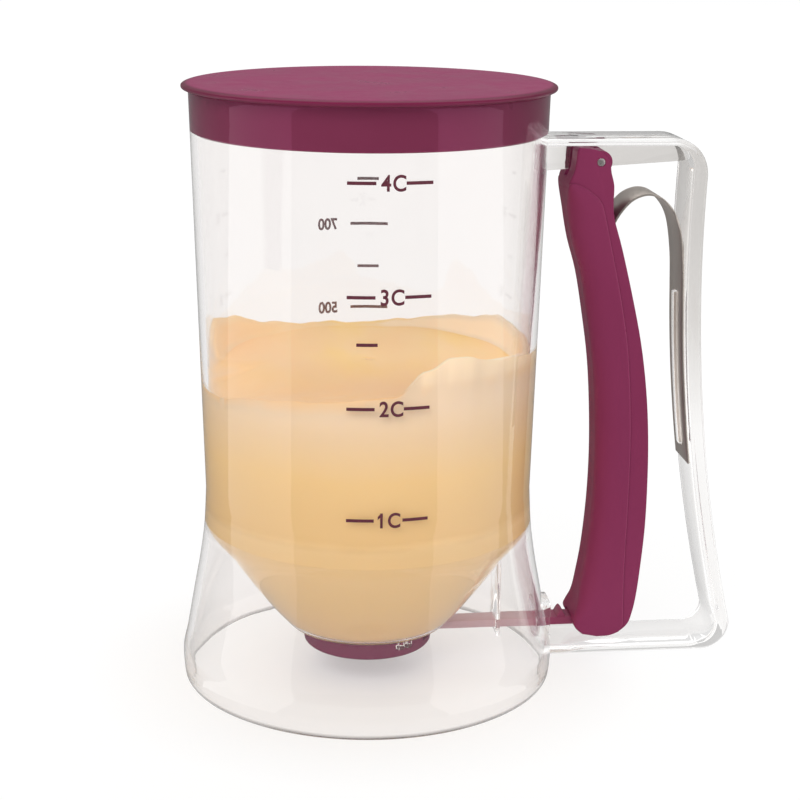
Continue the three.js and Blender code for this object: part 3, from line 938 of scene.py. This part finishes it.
def handle():
    outer = band_outline(0.0, BOTTOM_BAR_BOTTOM, TOP_BAR_TOP, BOTTOM_CORNER, TOP_CORNER)
    inner = band_outline(
        GRIP_DEPTH, BOTTOM_BAR_BOTTOM + BOTTOM_BAR_THICK, TOP_BAR_TOP - TOP_BAR_THICK,
        BOTTOM_CORNER - BOTTOM_BAR_THICK, TOP_CORNER - GRIP_DEPTH,
    )
    # The band is open at the jug, so its outline runs out along one line and back
    # along the other
    band = side_plate("handle", [*outer, *reversed(inner)], BAND_WIDTH)
    bevel(band, BAND_ROUND, 4)
    join(band, top_web())
    join(band, spring_rib())
    cut(band, rod("hole", HINGE_X, HINGE_HEIGHT, PIN_RADIUS + CLEAR_GAP, BAND_WIDTH))
    return cut(band, lathe("inside", [
        (0.01, -OVERRUN), *wall_line(0.0, WAIST_HEIGHT, WALL / 2, 30),
        *wall_line(WAIST_HEIGHT + 5.0, RIM_HEIGHT, WALL / 2, 20), (0.01, RIM_HEIGHT + OVERRUN),
    ]))


def top_web():
    web_top = TOP_BAR_TOP - TOP_BAR_THICK / 2
    face = grip_outer(WEB_LOW_AT_GRIP) - GRIP_DEPTH / 2
    corner = TOP_CORNER / 2
    web = side_plate("web", [
        (WAIST_RADIUS, WEB_LOW_AT_JUG), (face, WEB_LOW_AT_GRIP), (face, web_top - corner),
        (face - corner, web_top), (WAIST_RADIUS, web_top),
    ], WEB_THICK)
    bevel(web, FINE_ROUND)
    return join(web, rod("lug", HINGE_X, HINGE_HEIGHT, LUG_RADIUS, WEB_THICK / 2 + 0.01))


def spring_rib():
    proud = GRIP_DEPTH + CLEAR_GAP + LEAF_THICK + 1.0
    low = LEAF_SLOT_LOW + CLEAR_GAP
    high = LEAF_SLOT_HIGH - CLEAR_GAP
    face = grip_line(proud, low, high)
    back = grip_line(GRIP_DEPTH / 2, low, high)
    return bevel(side_plate("rib", [*face, *reversed(back)], WEB_THICK), FINE_ROUND)


# Lid
def plug_lid():
    contact = wall_radius(PLUG_LOW) - WALL + CONTACT
    contact_high = wall_radius(LID_UNDER) - WALL + CONTACT
    inner = contact - 2.0
    return smooth(lathe("plug_lid", [
        (0.02, LID_UNDER - 0.4),
        *rounded((inner, LID_UNDER - 0.4), (-1.0, 0.0), (0.0, -1.0), 4),
        (inner, PLUG_LOW + 0.4),
        *rounded((inner, PLUG_LOW), (0.0, 0.4), (0.4, 0.0), 3),
        *rounded((contact, PLUG_LOW), (-0.5, 0.0), (0.0, 0.5), 3),
        (contact_high, LID_UNDER - 0.7),
        (contact_high, LID_UNDER),
        *rounded((LID_RADIUS, LID_UNDER), (-LID_EDGE, 0.0), (0.0, LID_EDGE), 5),
        *rounded((LID_RADIUS, LID_TOP), (0.0, -LID_DROP), (-LID_ROLL, 0.0), 10),
        (LID_RADIUS - 2 * LID_ROLL, LID_TOP - 0.04),
        (0.02, LID_TOP - 0.04),
    ]), 40)


# Trigger
def trigger_line(shares):
    return curve_through([
        (HINGE_X + reach * TRIGGER_REACH, HINGE_HEIGHT - drop * TRIGGER_LENGTH)
        for drop, reach in shares
    ], OUTLINE_STEPS)


def squeezed_trigger():
    front = [
        (x - FINGER_PROUD * fade(z, FINGER_FROM, FINGER_FULL), z)
        for x, z in trigger_line(TRIGGER_FRONT)
    ]
    step = trigger_line(TRIGGER_STEP)
    body = side_plate("trigger_shell", [*front, *trigger_line(TRIGGER_REAR)], TRIGGER_REAR_WIDTH)
    bevel(body, TRIGGER_ROUND, 3)
    round_finger_side(body, front, TRIGGER_REAR_WIDTH)
    wide_front = [point for point in front if point[1] < step[-1][1]]
    wide_rear = trigger_line(TRIGGER_REAR[:TRIGGER_FIRST_REAR])
    wide = side_plate("wide", [*wide_front, *wide_rear, *step], TRIGGER_WIDTH)
    bevel(wide, STEP_ROUND)
    join(body, round_finger_side(wide, front, TRIGGER_WIDTH))
    cut(body, trigger_hollow(front))
    join(body, rod("boss", HINGE_X, HINGE_HEIGHT, BOSS_RADIUS, TRIGGER_HOLLOW / 2 + 1.0))
    cut(body, rod("hole", HINGE_X, HINGE_HEIGHT, PIN_RADIUS + 0.05, TRIGGER_WIDTH))
    cut(body, block(
        "slot", (HINGE_X - TRIGGER_REACH, HINGE_X + TRIGGER_REACH), WEB_THICK / 2 + CLEAR_GAP,
        (WEB_LOW_AT_JUG - 1.5, TOP_BAR_TOP),
    ))
    cut(body, block(
        "mouth", (HINGE_X - TRIGGER_REACH, LINK_X + LINK_ROOM + HOOK_WALL + MOUTH_ROOM),
        ARM_HALF + MOUTH_ROOM, (0.0, ARM_HIGH + MOUTH_ROOM),
    ))
    join(body, rod("bar", LINK_X, LINK_HEIGHT, LINK_RADIUS, TRIGGER_WIDTH / 2 - 1.0))
    return smooth(body, 28)


def round_finger_side(made, line, width, inset=0.0):
    """Rounds a solid's two corners down the line of its finger side, less by inset."""
    half = width / 2
    behind = HINGE_X + 3 * TRIGGER_REACH
    turns = even_steps(0.0, pi / 2, FINGER_STEPS)
    rings = []
    for x, z in [(line[0][0], line[0][1] + 5.0), *line, (line[-1][0], line[-1][1] - 5.0)]:
        broad = fade(z, FINGER_FROM, FINGER_FULL) * (1 - fade(z, FINGER_FADE, FINGER_END))
        radius = max(TRIGGER_ROUND + (TRIGGER_BROAD - TRIGGER_ROUND) * broad - inset, 0.2)
        corner = [(behind - x, -OVERRUN), (radius, -OVERRUN)]
        corner += [(radius * (1 - sin(turn)), radius * (1 - cos(turn))) for turn in turns]
        near = [at(x + back, half - side, z) for back, side in corner]
        far = [at(x + back, side - half, z) for back, side in reversed(corner)]
        rings.append([*near, *far])
    return combine(made, loft("finger_side", rings), "INTERSECT")


def trigger_hollow(front):
    roof = front[0][1] - END_WALL
    floor = HINGE_HEIGHT - TRIGGER_LENGTH + END_WALL
    line = [(x + TRIGGER_WALL, z) for x, z in front]
    inner = [point for point in line if floor < point[1] < roof]
    behind = HINGE_X + 2 * TRIGGER_REACH
    outline = [
        (inner[0][0], roof), *inner, (inner[-1][0], floor), (behind, floor), (behind, roof),
    ]
    hollow = side_plate("hollow", outline, TRIGGER_HOLLOW)
    return round_finger_side(hollow, line, TRIGGER_HOLLOW, TRIGGER_WALL)


# Leaf spring
def leaf():
    held = grip_line(LEAF_BACK, LEAF_LOW, LEAF_LEAVE, 8)
    leg = []
    for up, across in LEAF_LEG:
        height = LEAF_LEAVE + up * (LEAF_ARCH - LEAF_LEAVE)
        leg.append((grip_outer(height) - LEAF_BACK - across * LEAF_ROOM, height))
    line = [Vector(point) for point in curve_through([*held, *leg], 6)]
    left = []
    right = []
    for before, point, after in zip([line[0], *line], line, [*line[1:], line[-1]]):
        side = (after - before).normalized().orthogonal() * LEAF_THICK / 2
        left.append(point + side)
        right.append(point - side)
    strip = side_plate("leaf_strip", [*left, *reversed(right)], LEAF_WIDTH)
    bevel(strip, 0.15, 2, 60)
    cut(strip, block(
        "slot", (HINGE_X + TRIGGER_REACH, GRIP_WAIST_X + GRIP_FLARE), WEB_THICK / 2 + CLEAR_GAP,
        (LEAF_SLOT_LOW, LEAF_SLOT_HIGH),
    ))
    return smooth(strip, 35)


# Valve
def valve_cap_shell():
    inner_floor = CAP_LOW + CAP_FLOOR
    cap = lathe("cap_shell", [
        *rounded((OUTLET_RADIUS, CAP_LOW), (0.0, CAP_LIP), (CAP_LIP, 0.0), 3),
        *rounded((CAP_RADIUS, CAP_LOW), (-1.0, 0.0), (0.0, 1.0), 5),
        *rounded((CAP_RADIUS, CAP_HIGH), (0.0, -0.5), (-0.5, 0.0), 3),
        (CAP_RADIUS - CAP_WALL, CAP_HIGH),
        (CAP_RADIUS - CAP_WALL, inner_floor),
        (OUTLET_RADIUS, inner_floor),
    ], 128)
    past = CAP_RADIUS + 3 * OVERRUN
    cut(cap, block("slot", (BLADE_X, past), BLADE_RADIUS + BLADE_ROOM, (inner_floor, SEAL_LOW)))
    heights = (HOOK_LOW - CLEAR_GAP, HOOK_LOW + HOOK_TOOTH + CLEAR_GAP)
    half = HOOK_WIDTH / 2 + CLEAR_GAP
    for turn in HOOK_TURNS:
        cut(cap, block("notch", (CAP_RADIUS - HOOK_TOOTH, past), half, heights, turn))
    return smooth(cap, 35)


def seal_ring():
    return smooth(lathe("seal_ring", [
        (OUTLET_RADIUS, SEAL_LOW + 0.2), (OUTLET_RADIUS + 0.2, SEAL_LOW),
        (SEAL_RADIUS - 0.3, SEAL_LOW), (SEAL_RADIUS, SEAL_LOW + 0.3),
        (SEAL_RADIUS, CAP_HIGH - 0.3), (SEAL_RADIUS - 0.3, CAP_HIGH),
        (OUTLET_RADIUS + 0.2, CAP_HIGH), (OUTLET_RADIUS, CAP_HIGH - 0.2),
    ], 96), 50)


def sliding_arm():
    blade = [
        (BLADE_X + BLADE_RADIUS * cos(turn), BLADE_RADIUS * sin(turn))
        for turn in even_steps(pi / 2, 3 * pi / 2, BLADE_STEPS)
    ]
    low_side = [
        (BLADE_SHOULDER_X, -BLADE_RADIUS),
        *rounded((BLADE_NECK_X, -ARM_HALF), (-1.4, -2.0), (2.0, 0.0), 5),
        (LINK_X, -ARM_HALF),
    ]
    high_side = [(x, -y) for x, y in reversed(low_side)]
    arm = plan_plate("valve_arm", [*blade, *low_side, *high_side], ARM_LOW, ARM_HIGH)
    bevel(arm, 0.35)
    half = BUMP_LENGTH / 2
    rise = curve_through([
        (BUMP_X + side * half, ARM_HIGH + up) for side, up in BUMP_LINE
    ], OUTLINE_STEPS)
    foot = ARM_HIGH - 1.0
    outline = [(BUMP_X - half, foot), *rise, (BUMP_X + half, foot)]
    join(arm, bevel(side_plate("bump", outline, 2 * ARM_HALF - 0.6), 0.3))
    reach = LINK_ROOM + HOOK_WALL
    hook = block("hook", (LINK_X - reach, LINK_X + reach), ARM_HALF, (ARM_LOW, LINK_TOP))
    join(arm, bevel(hook, 0.5))
    cut(arm, block(
        "throat", (LINK_X - LINK_ROOM, LINK_X + LINK_ROOM), 2 * ARM_HALF,
        (ARM_LOW - 3 * OVERRUN, LINK_TOP - HOOK_WALL),
    ))
    return smooth(arm, 35)


# Batter
def batter_height(x, y):
    """The surface: a slack level with low folds, and films that climb the wall."""
    rim = min(hypot(x, y) / BATTER_RIM, 1.0)
    height = BATTER_LEVEL + wave(x, y, *SWIRL) + wave(x, y, *FINE_SWIRL)
    rise = followed(BATTER_RISE, degrees(atan2(y, x)), fade)
    film = fade(rim, 0.93, 0.985) if rise > 0 else fade(rim, 0.6, 1.0)
    return height + film * (rise + wave(x, y, *RAGGED))


def wave(x, y, height, fine_x, fine_y, seed):
    return height * noise.noise(Vector((x * fine_x, y * fine_y, seed)))


def batter_fill():
    """Batter that wets the funnel and the wall."""
    floor_top = FUNNEL_FLOOR_TOP - CONTACT
    wetted = [point for point in jug_inside() if point[1] < BATTER_LEVEL - BATTER_DROP]
    side = [(radius + CONTACT, height) for radius, height in reversed(wetted)]
    low = [(0.02, floor_top), (FUNNEL_FLOOR_RADIUS - 1.0, floor_top)]
    edge = wall_radius(BATTER_LEVEL) - WALL + CONTACT
    profile = [*low, *side]
    for ring in range(BATTER_RINGS + 1):
        profile.append((edge * (1 - ring / (BATTER_RINGS + 0.2)) ** 0.8, BATTER_LEVEL))
    fill = lathe("batter_fill", profile)
    for vertex in fill.data.vertices:
        if vertex.co.z > (BATTER_LEVEL - 0.01) * MM:
            x = vertex.co.x / MM - AXIS_X
            y = vertex.co.y / MM
            height = batter_height(x, y)
            radius = hypot(x, y)
            grow = 1.0
            if radius > edge - 0.05:
                grow += (wall_radius(height) - wall_radius(BATTER_LEVEL)) / radius
            vertex.co = at(x * grow, y * grow, height)
    return smooth(fill, 100)


# Printed scale
def on_wall(arc, height, middle, proud):
    """The point on the jug's outside at an arc length from the middle angle."""
    radius = wall_radius(height)
    angle = radians(middle) + arc / radius
    return at((radius + proud) * cos(angle), (radius + proud) * sin(angle), height)


def wrap_on_wall(name, bm, middle):
    """Bends flat faces, given as an arc length and a height, round the jug."""
    places = [vertex.co.x for vertex in bm.verts]
    place = min(places) + INK_STEP
    while place < max(places):
        bmesh.ops.bisect_plane(
            bm, geom=bm.verts[:] + bm.edges[:] + bm.faces[:],
            plane_co=(place, 0, 0), plane_no=(1, 0, 0),
        )
        place += INK_STEP
    raised = bmesh.ops.extrude_face_region(bm, geom=bm.faces[:])
    upper = {item for item in raised["geom"] if isinstance(item, bmesh.types.BMVert)}
    for vertex in bm.verts:
        proud = INK_PROUD if vertex in upper else INK_UNDER
        vertex.co = on_wall(vertex.co.x, vertex.co.y, middle, proud)
    return finished(bm, name, bpy.data.meshes.new(name))


def flat_shape(bm, points):
    bm.faces.new([bm.verts.new((x, y, 0)) for x, y in points])


def flat_line(bm, start, end, height):
    low = height - INK_LINE / 2
    high = height + INK_LINE / 2
    flat_shape(bm, ((start, low), (end, low), (end, high), (start, high)))


def flat_text(bm, text, middle, height, size, width_share, weight, spacing):
    """Plain figures as flat faces, centred on a place."""
    curve = bpy.data.curves.new("figures", "FONT")
    curve.body = text
    curve.size = size * LETTER_SIZE
    curve.space_character = spacing
    curve.offset = weight
    curve.fill_mode = "FRONT"
    holder = linked("figures", curve)
    mesh = applied(holder)
    xs = [vertex.co.x for vertex in mesh.vertices]
    ys = [vertex.co.y for vertex in mesh.vertices]
    for vertex in mesh.vertices:
        x = (vertex.co.x - (min(xs) + max(xs)) / 2) * width_share
        y = vertex.co.y - (min(ys) + max(ys)) / 2
        vertex.co = (x + middle, y + height, 0)
    bm.from_mesh(mesh)
    bpy.data.objects.remove(holder)
    bpy.data.curves.remove(curve)
    bpy.data.meshes.remove(mesh)


def cup_scale():
    bm = bmesh.new()
    for count, height in enumerate(CUP_HEIGHTS, start=1):
        for start, end in CUP_LINES:
            flat_line(bm, start, end, height)
        flat_text(bm, f"{count}C", CUP_TEXT_AT, height, *CUP_LETTERS)
    flat_line(bm, *HALF_TICK, HALF_HEIGHT)
    top = CUP_HEIGHTS[0] + CUP_LETTERS[0] / 2
    left = ONE_LEFT - FLAG
    flat_shape(bm, (
        (ONE_LEFT, top - FLAG), (left, top - 2 * FLAG), (left, top - FLAG), (ONE_LEFT, top),
    ))
    return wrap_on_wall("cup_scale", bm, -90.0)


def milli_scale():
    bm = bmesh.new()
    for count, height in enumerate(MILLI_HEIGHTS, start=1):
        if count % 2:
            flat_line(bm, *MILLI_LONG, height)
            flat_text(bm, str(count * 100), MILLI_TEXT_AT, height, *MILLI_LETTERS)
        else:
            flat_line(bm, *MILLI_SHORT, height)
    return wrap_on_wall("milli_scale", bm, 90.0)


# Build
jug = skirt_details(clear_jug())
join(jug, handle())
smooth(jug, 32)
set_material(jug, clear_plastic())
jug.visible_shadow = False
jug.visible_diffuse = False
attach(jug, "jug")
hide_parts("jug_wall", "jug_funnel", "handle_frame")

lid_piece = set_material(plug_lid(), lid_plum())
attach(lid_piece, "lid")
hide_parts("lid")

trigger_piece = set_material(squeezed_trigger(), trigger_plum())
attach(trigger_piece, "trigger")
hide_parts("trigger")

pin = bevel(rod("trigger_pin", HINGE_X, HINGE_HEIGHT, PIN_RADIUS, PIN_HALF), 0.35, 3)
set_material(smooth(pin, 40), brushed_steel("pin_steel", (240, 232, 230), (1.0, 1.0, 1.0)))
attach(pin, "jug")
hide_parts("hinge_pin")

spring = set_material(leaf(), brushed_steel("leaf_steel", (236, 226, 217), (0.4, 8.0, 0.1), 0.36))
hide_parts("leaf_spring")
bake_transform(spring)

cap_plum = plum_plastic("plum_cap", (116, 52, 79), (124, 58, 86))[0]
cap_piece = set_material(valve_cap_shell(), cap_plum)
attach(cap_piece, "jug")
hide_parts("valve_cap")

seal_piece = set_material(seal_ring(), silicone())
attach(seal_piece, "jug")
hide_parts("valve_seal")

arm_piece = set_material(sliding_arm(), arm_plastic())
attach(arm_piece, "slide_arm")
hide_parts("slide_arm")

fill_piece = set_material(batter_fill(), batter())
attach(fill_piece, "jug")

ink = scale_ink()
for marks in (cup_scale(), milli_scale()):
    set_material(marks, ink)
    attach(marks, "jug")


# Floor, light and camera
FLOOR_RADIUS = 4.0
CAMERA_AZIMUTH = -98.5
AMBIENT = 0.55
FRONT_LEVEL = 0.15
# A panel's two edges: lean for each degree of height, place in degrees, and step in level
PANEL_EDGES = ((0.514, 41.2, 0.95), (1.55, 81.8, -0.85))
CEILING_LEVEL = 1.1
CEILING_FROM = 35.0
LOWER_LEVEL = 0.4
LOWER_FROM = -27.0
INSIDE_SHARE = 0.5
FLOOR_STRENGTH = 1.04

# What share of white the floor shows by its distance from the jug's axis, painted light
# that grows away from the jug and leaves painted shade under it: each row adds its share
# between two radii. Inside the last radius, reflections show none of it.
FLOOR_WHITE = ((0.36, -1.0, 0.0), (0.24, 8.0, 50.0), (0.25, 58.0, 88.0), (0.15, 110.0, 350.0))
UNREFLECTED = 75.0


def seen_rays(tree):
    """The kinds of ray, and 1 for one that comes from the camera or through the plastic."""
    rays = node(tree, "LightPath").outputs
    return rays, calc("MAXIMUM", rays["Is Camera Ray"], rays["Is Transmission Ray"])


def floor_material():
    """Pale floor that turns whiter with distance for what is seen directly or through
    the plastic, and keeps its shadows. The grading is painted light away from the jug
    and painted shade under it."""
    material, tree, shader = new_material("pale_floor")
    tone = two_tone(noise_value(tree, 6.0, 2.0), (240, 238, 237), (244, 243, 242))
    feed(shader, Base_Color=tone, Roughness=0.9, Specular_IOR_Level=0.1)
    rays, seen = seen_rays(tree)
    shown = calc("MAXIMUM", seen, rays["Is Glossy Ray"])
    away = axis_distance(tree)
    level = 0.0
    for add, start, end in FLOOR_WHITE:
        level = calc("ADD", spread(away, 0.0, add, start * MM, end * MM), level)
    plain = calc("LESS_THAN", rays["Glossy Depth"], 0.5)
    outer = calc("GREATER_THAN", away, UNREFLECTED * MM)
    white_share = calc("MULTIPLY", shown, calc("MULTIPLY", level, calc("MAXIMUM", plain, outer)))
    white = node(tree, "Emission", Strength=FLOOR_STRENGTH).outputs["Emission"]
    mix = node(tree, "MixShader", white_share, shader.outputs["BSDF"], white)
    feed(tree.nodes["Material Output"], Surface=mix.outputs["Shader"])
    return material


def panel_light(tree):
    """How bright the studio is in each direction, for what is seen in reflections."""
    way = parts(node(tree, "TexCoord").outputs["Generated"])
    turned = calc("DEGREES", calc("ARCTAN2", way["Y"], way["X"]))
    turned = calc("WRAP", calc("SUBTRACT", turned, CAMERA_AZIMUTH), 180.0, -180.0)
    turned = calc("ABSOLUTE", turned)
    tilt = calc("DEGREES", calc("ARCSINE", way["Z"]))
    panel = FRONT_LEVEL
    for lean, edge, step in PANEL_EDGES:
        past = calc("GREATER_THAN", calc("MULTIPLY_ADD", tilt, lean, turned), edge)
        panel = calc("MULTIPLY_ADD", past, step, panel)
    above = calc("GREATER_THAN", tilt, CEILING_FROM)
    under = calc("LESS_THAN", tilt, LOWER_FROM)
    between = calc("SUBTRACT", calc("SUBTRACT", 1.0, above), under)
    panel = calc("MULTIPLY_ADD", above, CEILING_LEVEL, calc("MULTIPLY", panel, between))
    return calc("MULTIPLY_ADD", under, LOWER_LEVEL, panel)


def studio_world():
    """White for what is seen directly or through the plastic, a plain ambient light,
    and two tall soft panels beside the camera for what is seen in reflections."""
    world = bpy.data.worlds.new("studio")
    bpy.context.scene.world = world
    world.use_nodes = True
    tree = world.node_tree
    rays, seen = seen_rays(tree)
    direct = calc("LESS_THAN", rays["Diffuse Depth"], 0.5)
    mirrored = calc("MULTIPLY", calc("GREATER_THAN", rays["Glossy Depth"], 0.5), direct)
    seen = calc("MULTIPLY", calc("MULTIPLY", seen, direct), calc("SUBTRACT", 1.0, mirrored))
    inside = calc("MULTIPLY", rays["Is Transmission Ray"], INSIDE_SHARE)
    outside = calc("SUBTRACT", 1.0, inside)
    panels = calc("MULTIPLY_ADD", panel_light(tree), outside, inside)
    plain = calc("SUBTRACT", 1.0, calc("ADD", seen, mirrored))
    strength = calc("MULTIPLY_ADD", plain, AMBIENT, seen)
    strength = calc("MULTIPLY_ADD", mirrored, panels, strength)
    feed(tree.nodes["Background"], Strength=strength, Color=(1.0, 1.0, 1.0, 1.0))


LAMP_TARGET = Vector((0.0, 0.0, 0.08))
LAMP_SIZE = 0.9


def soft_light(name, place, power):
    """A square soft lamp that lights the object but isn't seen in it."""
    lamp = bpy.data.lights.new(name, "AREA")
    lamp.shape = "SQUARE"
    lamp.size = LAMP_SIZE
    lamp.energy = power
    made = linked(name, lamp)
    made.location = place
    made.rotation_euler = (LAMP_TARGET - Vector(place)).to_track_quat("-Z", "Y").to_euler()
    made.visible_camera = False
    made.visible_transmission = False
    made.visible_glossy = False


def photo_camera():
    """The camera at the photo's viewing angle."""
    camera = bpy.data.cameras.new("camera")
    camera.lens = CAMERA_LENS
    camera.clip_start = 0.01
    made = linked("camera", camera)
    made.matrix_world = (
        Matrix.Translation(CAMERA_AT) @ Matrix.Rotation(-CAMERA_TURN, 4, "Z")
        @ Matrix.Rotation(pi / 2 - CAMERA_DOWN, 4, "X") @ Matrix.Rotation(CAMERA_ROLL, 4, "Z")
    )
    bpy.context.scene.camera = made


bpy.ops.mesh.primitive_circle_add(vertices=96, radius=FLOOR_RADIUS, fill_type="NGON")
floor = bpy.context.object
floor.name = "floor"
floor.data.materials.append(floor_material())
floor.visible_glossy = False

studio_world()
soft_light("key", (-0.5, -0.95, 0.85), 8.5)
soft_light("fill", (0.9, -0.6, 0.35), 2.5)
soft_light("back", (0.3, 1.0, 0.5), 5.0)
photo_camera()
bpy.context.scene.view_settings.view_transform = "Standard"
